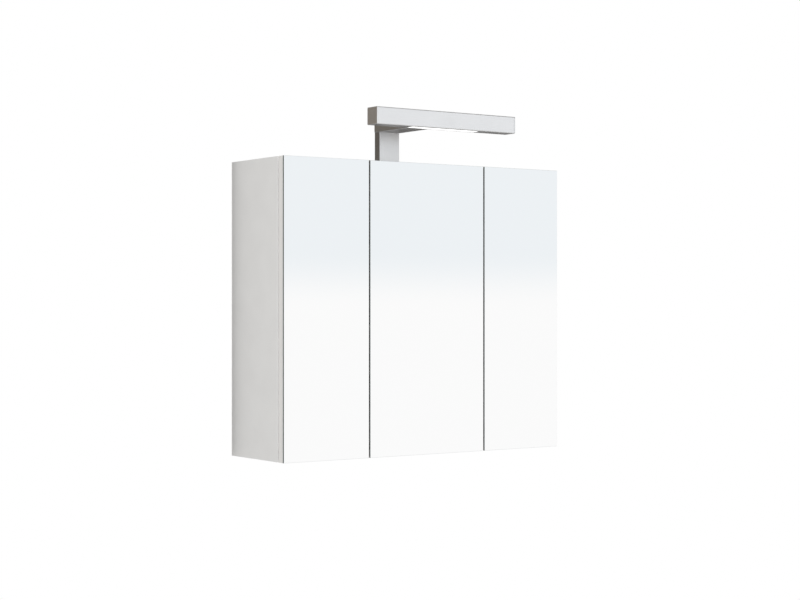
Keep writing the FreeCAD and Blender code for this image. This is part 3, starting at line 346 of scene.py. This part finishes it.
class Finish(Nodes):
    """A material on one Principled shader, with the textures that the cabinet's finishes share."""

    def __init__(self, name, **constants):
        self.material = bpy.data.materials.new(name)
        self.material.use_nodes = True
        super().__init__(self.material.node_tree)
        self.shader = self.tree.nodes["Principled BSDF"]
        coordinates = self.add("TexCoord", {}).outputs
        self.place = coordinates["Object"]
        self.facing = self.add("SeparateXYZ", {"Vector": coordinates["Normal"]}).outputs
        self.across = self.add("SeparateXYZ", {"Vector": self.place}).outputs
        for socket, value in constants.items():
            self.set(socket.replace("_", " "), value)

    def set(self, socket, value):
        self.feed(self.shader.inputs[socket], value)

    def stretched(self, stretch):
        return self.add("Mapping", {"Vector": self.place, "Scale": stretch}).outputs["Vector"]

    def noise(self, grain, detail=2.0, stretch=(1, 1, 1)):
        """Noise whose spots are about one grain across. A stretch below 1 draws them out along that axis."""
        inputs = {"Vector": self.stretched(stretch), "Scale": 1 / grain, "Detail": detail}
        return self.add("TexNoise", inputs).outputs["Fac"]

    def cells(self, grain, stretch=(1, 1, 1)):
        """Cells about one grain across, with a random value from 0 to 1 in each."""
        inputs = {"Vector": self.stretched(stretch), "Scale": 1 / grain}
        colour = self.add("TexVoronoi", inputs).outputs["Color"]
        return self.add("SeparateColor", {"Color": colour}).outputs["Red"]

    def lines(self, pitch, axis):
        """A wave that repeats at the pitch along one axis, from 0 at the origin to 1 half a pitch away."""
        turns = self.calculate("MULTIPLY", self.across[axis], math.tau / pitch)
        return self.ramp(self.calculate("COSINE", turns), 1, -1)

    def spread(self, texture, low=0.0, high=1.0, span=NOISE_SPAN):
        """The span in which most of a noise lies, carried to low..high."""
        return self.ramp(texture, *span, low, high)

    def average(self, first, second, first_share):
        """The average of two values, in which the first has the given share."""
        weighted = self.calculate("MULTIPLY", first, first_share)
        return self.calculate("ADD", weighted, self.calculate("MULTIPLY", second, 1 - first_share))

    def varied(self, colour, texture, low, high, span=NOISE_SPAN):
        """The colour times a factor from low to high, as the texture goes."""
        return self.mix(self.spread(texture, span=span), shade(colour, low), shade(colour, high))

    def facing_along(self, axis):
        """1 where the surface faces either way along the axis, 0 where it lies along it."""
        return self.calculate("ABSOLUTE", self.facing[axis])

    def bump(self, height, depth):
        """Raises the surface by the height texture times the depth."""
        inputs = {"Height": height, "Distance": depth, "Strength": 1.0}
        if self.shader.inputs["Normal"].is_linked:
            inputs["Normal"] = self.shader.inputs["Normal"].links[0].from_socket
        self.set("Normal", self.add("Bump", inputs).outputs["Normal"])


def melamine(name, colour, band_colour=None, flake_stretch=None):
    """White melamine on chipboard: pearl grain, satin, with banded edges or a raw rear edge if asked."""
    finish = Finish(name)
    pearl = finish.noise(0.9 * MILLIMETRE, detail=3)
    cloud = finish.noise(60 * MILLIMETRE, detail=2)
    tone = finish.average(cloud, pearl, first_share=0.5)
    face = finish.varied(colour, tone, 0.975, 1.015, span=(0.38, 0.62))
    rough = finish.spread(pearl, 0.27, 0.45)
    if band_colour:
        edge = finish.ramp(finish.facing_along("Y"), *BAND_TURN, 1, 0)
        face = finish.mix(edge, face, band_colour)
    if flake_stretch:
        flake = finish.cells(0.9 * MILLIMETRE, stretch=flake_stretch)
        rear = finish.calculate("GREATER_THAN", finish.across["Y"], -RAW_EDGE_DEPTH)
        face = finish.mix(rear, face, finish.mix(flake, *RAW_BOARD))
        rough = finish.calculate("MAXIMUM", rough, finish.calculate("MULTIPLY", rear, 0.8))
        finish.bump(finish.calculate("MULTIPLY", flake, rear), 0.12 * MILLIMETRE)
    finish.set("Base Color", face)
    finish.set("Roughness", rough)
    finish.bump(pearl, 0.035 * MILLIMETRE)
    return finish.material


def hardboard(name, colour):
    """Thin fibreboard: white foil inside, brown pressed fibre with a screen pattern on the rear."""
    finish = Finish(name)
    pearl = finish.noise(1.1 * MILLIMETRE, detail=3)
    fibre = finish.noise(1.6 * MILLIMETRE, detail=5, stretch=(0.25, 1, 1))
    patches = finish.noise(90 * MILLIMETRE, detail=3)
    brown = finish.mix(finish.spread(fibre), *FIBRE)
    brown = finish.mix(finish.spread(patches, 0, 0.4, span=(0.35, 0.7)), brown, FIBRE_PATCH)
    rear = finish.ramp(finish.facing["Y"], *HARDBOARD_REAR_TURN)
    finish.set("Base Color", finish.mix(rear, colour, brown))
    finish.set("Roughness", finish.ramp(rear, 0, 1, 0.45, 0.78))
    screen = finish.calculate("MULTIPLY", finish.lines(SCREEN_PITCH, "X"), finish.lines(SCREEN_PITCH, "Z"))
    rear_relief = finish.calculate("MULTIPLY", screen, rear)
    relief = finish.calculate("ADD", rear_relief, finish.calculate("MULTIPLY", pearl, 0.1))
    finish.bump(relief, 0.12 * MILLIMETRE)
    return finish.material


def mirror(name):
    """Silvered glass: a clean mirror in front, a bright bevel and polished edges of dark green glass, made
    darker still as painted shade for the gaps between the doors.
    """
    finish = Finish(name, IOR=GLASS_IOR)
    toward_front = finish.calculate("MULTIPLY", finish.facing["Y"], -1)
    silver = finish.ramp(toward_front, *MIRROR_BEVEL_TURN)
    bevel = finish.calculate("SUBTRACT", silver, finish.ramp(toward_front, *MIRROR_FACE_TURN))
    ground = finish.noise(1.2 * MILLIMETRE, detail=4, stretch=(1, 6, 0.2))
    front = finish.mix(bevel, MIRROR_SILVER, MIRROR_BEVEL)
    # The edges' colour is partly the glass's own dark green and partly painted shade for the gaps between the
    # doors
    finish.set("Base Color", finish.mix(silver, finish.mix(ground, *MIRROR_EDGE_WITH_GAP_SHADE), front))
    finish.set("Metallic", silver)
    bevel_rough = finish.calculate("MULTIPLY", bevel, 0.35)
    finish.set("Roughness", finish.calculate("ADD", finish.ramp(silver, 0, 1, 0.25, 0.012), bevel_rough))
    wave = finish.noise(140 * MILLIMETRE, detail=1)
    finish.bump(wave, 0.004 * MILLIMETRE)
    return finish.material


def float_glass(name):
    """Clear shelf glass with green, finely ground edges."""
    finish = Finish(name, IOR=GLASS_IOR)
    flat = finish.ramp(finish.facing_along("Z"), *SHELF_FACE_TURN)
    ground = finish.noise(1.5 * MILLIMETRE, detail=4, stretch=(0.3, 0.3, 5))
    finish.set("Base Color", finish.mix(flat, finish.mix(ground, *GLASS_EDGE), GLASS_CLEAR))
    finish.set("Transmission Weight", finish.ramp(flat, 0, 1, 0.45, 1.0))
    finish.set("Roughness", finish.ramp(flat, 0, 1, 0.30, 0.0))
    finish.bump(finish.noise(90 * MILLIMETRE, detail=1), 0.01 * MILLIMETRE)
    return finish.material


def plated(name, colours, roughness, grain, stretch=(1, 1, 1), depth=0.006 * MILLIMETRE):
    """Plated or drawn metal: fine marks along one way and a mottled plating."""
    finish = Finish(name, Metallic=1.0)
    marks = finish.noise(grain, detail=4, stretch=stretch)
    mottle = finish.noise(7 * MILLIMETRE, detail=3)
    finish.set("Base Color", finish.mix(finish.spread(mottle), *colours))
    finish.set("Roughness", finish.spread(marks, *roughness, span=WIDE_NOISE_SPAN))
    finish.bump(marks, depth)
    return finish.material


def zinc_sheet(name):
    """Zinc-plated sheet steel with faint spangles."""
    finish = Finish(name, Metallic=1.0)
    spangle = finish.cells(5 * MILLIMETRE)
    finish.set("Base Color", finish.mix(spangle, *SHEET_ZINC))
    finish.set("Roughness", finish.ramp(spangle, 0, 1, 0.34, 0.46))
    finish.bump(finish.noise(0.8 * MILLIMETRE, detail=3), 0.008 * MILLIMETRE)
    return finish.material


def satin_metal(name, colour, along, painted_side_shade=1.0):
    """Satin anodised metal, brushed along one axis. Its sides to left and right may be darkened as painted
    shade.
    """
    finish = Finish(name, Metallic=1.0, Specular_Tint=GRAZING_TINT)
    stretch = tuple(0.02 if axis == along else 1 for axis in "XYZ")
    brush = finish.noise(0.5 * MILLIMETRE, detail=3, stretch=stretch)
    broad = finish.noise(45 * MILLIMETRE, detail=2)
    tone = finish.average(brush, broad, first_share=0.7)
    face = finish.varied(colour, tone, 0.95, 1.04, span=(0.35, 0.65))
    # Painted shade: the sides facing left and right take a darker colour, which stands in for the shade they
    # fall in
    side = finish.ramp(finish.facing_along("X"), *METAL_SHADED_SIDE_TURN)
    finish.set("Base Color", finish.mix(side, face, shade(colour, painted_side_shade)))
    finish.set("Roughness", finish.spread(brush, 0.28, 0.40, span=WIDE_NOISE_SPAN))
    finish.bump(brush, 0.003 * MILLIMETRE)
    return finish.material


def moulded(name, colour, roughness, grain=0.5 * MILLIMETRE, depth=0.012 * MILLIMETRE, **constants):
    """Moulded plastic or rubber with a fine spark-eroded grain."""
    finish = Finish(name, **constants)
    spark = finish.noise(grain, detail=4)
    flow = finish.noise(25 * MILLIMETRE, detail=2)
    finish.set("Base Color", finish.varied(colour, flow, 0.975, 1.01))
    finish.set("Roughness", finish.spread(spark, roughness - 0.06, roughness + 0.08))
    finish.bump(spark, depth)
    return finish.material


def beech(name):
    """Beech along the dowel, with short darker rays."""
    finish = Finish(name)
    grain = finish.noise(1.0 * MILLIMETRE, detail=5, stretch=(0.3, 1, 0.3))
    rays = finish.noise(0.7 * MILLIMETRE, stretch=(0.4, 1, 0.4))
    finish.set("Base Color", finish.mix(finish.ramp(rays, 0.55, 0.7), finish.mix(grain, *BEECH), BEECH_RAY))
    finish.set("Roughness", finish.spread(grain, 0.5, 0.65))
    finish.bump(grain, 0.04 * MILLIMETRE)
    return finish.material


def lit_opal(name):
    """Opal plastic over a row of lights: its glow rises and falls once for each light."""
    board_low, board_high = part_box("lamp_led_board")
    led_pitch = (board_high.x - board_low.x) / LED_COUNT
    finish = Finish(name, Emission_Color=WHITE)
    spark = finish.noise(0.6 * MILLIMETRE, detail=3)
    finish.set("Base Color", finish.mix(spark, *OPAL))
    finish.set("Roughness", finish.spread(spark, 0.35, 0.5))
    finish.set("Emission Strength", finish.ramp(finish.lines(led_pitch, "X"), 0, 1, 1.15, 1.3))
    finish.bump(spark, 0.01 * MILLIMETRE)
    return finish.material


def circuit_board(name):
    """White solder mask over tracks of copper."""
    finish = Finish(name)
    tracks = finish.ramp(finish.lines(TRACK_PITCH, "Y"), 0.6, 0.7)
    mask = finish.noise(1.2 * MILLIMETRE, detail=3)
    finish.set("Base Color", finish.mix(tracks, SOLDER_MASK, MASKED_TRACK))
    finish.set("Roughness", finish.spread(mask, 0.3, 0.42))
    finish.bump(tracks, 0.03 * MILLIMETRE)
    return finish.material


def phosphor(name):
    """Yellow lens of a small light."""
    finish = Finish(name, Emission_Color=PHOSPHOR_GLOW, Emission_Strength=1.0)
    grains = finish.noise(0.3 * MILLIMETRE, detail=3)
    finish.set("Base Color", finish.mix(grains, *PHOSPHOR))
    finish.set("Roughness", finish.spread(grains, 0.2, 0.35))
    return finish.material


def metal_finishes():
    """The plated metals by slot. A small stretch draws the fine marks out along that axis."""
    return {
        "hinge_steel": plated(
            "hinge_steel", HINGE_STEEL, (0.16, 0.30), grain=0.6 * MILLIMETRE, stretch=(1, 0.08, 1)
        ),
        "pin_steel": plated(
            "pin_steel", PIN_STEEL, (0.18, 0.28), grain=0.25 * MILLIMETRE, stretch=(0.1, 0.1, 1)
        ),
        "screw_steel": plated("screw_steel", SCREW_STEEL, (0.26, 0.42), grain=0.35 * MILLIMETRE),
        "support_steel": plated(
            "support_steel", SUPPORT_STEEL, (0.14, 0.26), grain=0.5 * MILLIMETRE, stretch=(0.1, 1, 1)
        ),
        "fitting_zinc": plated(
            "fitting_zinc", FITTING_ZINC, (0.38, 0.55), grain=0.45 * MILLIMETRE, depth=0.02 * MILLIMETRE
        ),
        "plate_steel": zinc_sheet("plate_steel"),
    }


def plastic_finishes():
    """The plastics and rubbers by slot."""
    return {
        "bumper_rubber": moulded(
            "bumper_rubber",
            RUBBER_CLEAR,
            roughness=0.30,
            grain=0.4 * MILLIMETRE,
            depth=0.004 * MILLIMETRE,
            Transmission_Weight=0.6,
            IOR=RUBBER_IOR,
        ),
        "hanger_plastic": moulded("hanger_plastic", PLASTIC_WHITE, roughness=0.42),
        "switch_plastic": moulded("switch_plastic", PLASTIC_WHITE, roughness=0.40),
        "rocker_plastic": moulded("rocker_plastic", ROCKER_WHITE, roughness=0.22, **FINE_GRAIN),
        "driver_plastic": moulded(
            "driver_plastic", DRIVER_GREY, roughness=0.48, grain=0.7 * MILLIMETRE, depth=0.02 * MILLIMETRE
        ),
        "gland_rubber": moulded("gland_rubber", RUBBER_BLACK, roughness=0.55, depth=0.02 * MILLIMETRE),
    }


def other_finishes():
    """The boards, glass, wood and light-giving pieces by slot."""
    return {
        "back_board": hardboard("back_board", BACK_WHITE),
        "door_board": melamine("door_board", BOARD_WHITE, band_colour=BAND_WHITE),
        "mirror_glass": mirror("mirror_glass"),
        "shelf_glass": float_glass("shelf_glass"),
        "dowel_beech": beech("dowel_beech"),
        "lamp_opal": lit_opal("lamp_opal"),
        "led_board": circuit_board("led_board"),
        "led_light": phosphor("led_light"),
    }


def node_finishes():
    """Finishes that run along a piece, so that pieces of one slot differ: the lamp's metal and the boards."""
    finishes = {
        "lamp_bar": satin_metal("lamp_bar", LAMP_SILVER, "X"),
        "lamp_end_caps": satin_metal("lamp_end_caps", LAMP_SILVER, "Z"),
        # The arm's and the post's sides get painted shade, darker on the post
        "lamp_arm": satin_metal("lamp_arm", STAND_SILVER, "Y", painted_side_shade=0.8),
        "lamp_post": satin_metal("lamp_post", STAND_SILVER, "Z", painted_side_shade=0.58),
    }
    upright_board = melamine("upright_board", BOARD_WHITE, flake_stretch=(1, 0.5, 0.22))
    level_board = melamine("level_board", BOARD_WHITE, flake_stretch=(0.22, 0.5, 1))
    for name, slot in slot_of.items():
        if slot == "carcass_board":
            finishes[name] = level_board if name in ("top_panel", "bottom_panel") else upright_board
    return finishes


def dress_nodes(finishes, finishes_by_node):
    for name, piece in nodes.items():
        material = finishes_by_node.get(name) or finishes[slot_of[name]]
        piece.data.materials.clear()
        piece.data.materials.append(material)


# Small details
def circle(radius, height):
    turns = [math.tau * step / ROUND_SIDES for step in range(ROUND_SIDES)]
    return [Vector((radius * math.cos(turn), radius * math.sin(turn), height)) for turn in turns]


def cross(reach, half, height):
    """The outline of a driver cross, anticlockwise."""
    quarter = [(half, -half), (reach, -half), (reach, half)]
    outline = []
    for turn in range(4):
        for x, y in quarter:
            for _ in range(turn):
                x, y = -y, x
            outline.append(Vector((x, y, height)))
    return outline


def neighbours(ring):
    """Each point of a closed ring with the point after it."""
    return zip(ring, ring[1:] + ring[:1])


class Solid:
    """A closed mesh that is built from rings of points and walls between them, along local Z."""

    def __init__(self):
        self.mesh = bmesh.new()

    def ring(self, points):
        return [self.mesh.verts.new(point) for point in points]

    def wall(self, lower, upper):
        for (low, next_low), (high, next_high) in zip(neighbours(lower), neighbours(upper)):
            self.mesh.faces.new((low, next_low, next_high, high))

    def cover(self, *rings):
        """Fills one ring, or the sheet between an outer and an inner ring."""
        edges = []
        for ring in rings:
            for pair in neighbours(ring):
                edges.append(self.mesh.edges.get(pair) or self.mesh.edges.new(pair))
        bmesh.ops.triangle_fill(self.mesh, edges=edges, use_beauty=True)

    def place(self, name, material, point, outward):
        """Ends the mesh and sets it on a point with local Z along the outward direction."""
        bmesh.ops.recalc_face_normals(self.mesh, faces=self.mesh.faces)
        data = bpy.data.meshes.new(name)
        turn = outward.to_track_quat("Z", "Y").to_matrix().to_4x4()
        self.mesh.transform(Matrix.Translation(point) @ turn)
        self.mesh.to_mesh(data)
        self.mesh.free()
        data.materials.append(material)
        piece = bpy.data.objects.new(name, data)
        bpy.context.scene.collection.objects.link(piece)
        return piece


def screw_head():
    """A round screw head with a sunk driver cross, its seat at local Z = 0."""
    solid = Solid()
    seat = solid.ring(circle(SCREW_HEAD_RADIUS, 0))
    solid.cover(seat)
    lower = seat
    for step in range(SCREW_ROUNDING_STEPS + 1):
        turn = math.pi / 2 * step / SCREW_ROUNDING_STEPS
        radius = SCREW_HEAD_RADIUS - SCREW_ROUNDING * (1 - math.cos(turn))
        height = SCREW_HEAD_HEIGHT - SCREW_ROUNDING * (1 - math.sin(turn))
        upper = solid.ring(circle(radius, height))
        solid.wall(lower, upper)
        lower = upper
    mouth = solid.ring(cross(CROSS_REACH, CROSS_HALF_WIDTH, SCREW_HEAD_HEIGHT))
    solid.cover(lower, mouth)
    floor = solid.ring(cross(CROSS_REACH, CROSS_HALF_WIDTH, SCREW_HEAD_HEIGHT - CROSS_DEPTH))
    solid.wall(floor, mouth)
    solid.cover(floor)
    return solid


def raised_mark(*outlines):
    """A flat raised sign: one outline, or an outer and an inner one."""
    solid = Solid()
    rise = Vector((0, 0, MARK_HEIGHT))
    lower = [solid.ring(outline) for outline in outlines]
    upper = [solid.ring([point + rise for point in outline]) for outline in outlines]
    for low_ring, high_ring in zip(lower, upper):
        solid.wall(low_ring, high_ring)
    solid.cover(*lower)
    solid.cover(*upper)
    return solid


def add_hanger_adjusters(material):
    """Two screws in the front of each hanger set the height and the depth of its hook."""
    for side in ("left", "right"):
        low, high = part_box("hanger_" + side)
        heights = {"upper": high.z - ADJUSTER_FROM_END, "lower": low.z + ADJUSTER_FROM_END}
        for level, z in heights.items():
            seat = Vector(((low.x + high.x) / 2, low.y, z))
            name = "hanger_adjuster_" + side + "_" + level
            piece = screw_head().place(name, material, seat, Vector((0, -1, 0)))
            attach(piece, "carcass")


def rocker_half(above):
    """The middle and the outward direction of the upper or lower half of the rocker's front."""
    mesh = nodes["switch_rocker"].data
    low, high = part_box("switch_rocker")
    fold_z = (low.z + high.z) / 2
    area = 0.0
    middle = Vector()
    outward = Vector()
    for face in mesh.polygons:
        faces_front = face.normal.y < -ROCKER_FRONT_FACING
        if faces_front and (face.center.z > fold_z) == above:
            area += face.area
            middle += face.area * face.center
            outward += face.area * face.normal
    return middle / area, outward.normalized()


def add_rocker_marks():
    """A bar on the half that is pressed for on, a ring on the half that is pressed for off."""
    material = moulded("mark_grey", MARK_GREY, roughness=0.35, **FINE_GRAIN)
    corners = ((-1, -1), (1, -1), (1, 1), (-1, 1))
    bar = [Vector((x * BAR_HALF_WIDTH, y * BAR_HALF_HEIGHT, 0)) for x, y in corners]
    marks = {
        "rocker_mark_on": (False, raised_mark(bar)),
        "rocker_mark_off": (True, raised_mark(circle(RING_OUTER_RADIUS, 0), circle(RING_INNER_RADIUS, 0))),
    }
    for name, (above, solid) in marks.items():
        middle, outward = rocker_half(above)
        piece = solid.place(name, material, middle, outward)
        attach(piece, "rocker")


add_camera()
build_world()
add_floor()
add_wall_cards()
for light_name, light in LIGHTS.items():
    add_area_light(light_name, **light)

slot_finishes = {**metal_finishes(), **plastic_finishes(), **other_finishes()}
dress_nodes(slot_finishes, node_finishes())
add_hanger_adjusters(slot_finishes["screw_steel"])
add_rocker_marks()

bpy.context.scene.view_settings.view_transform = "Standard"
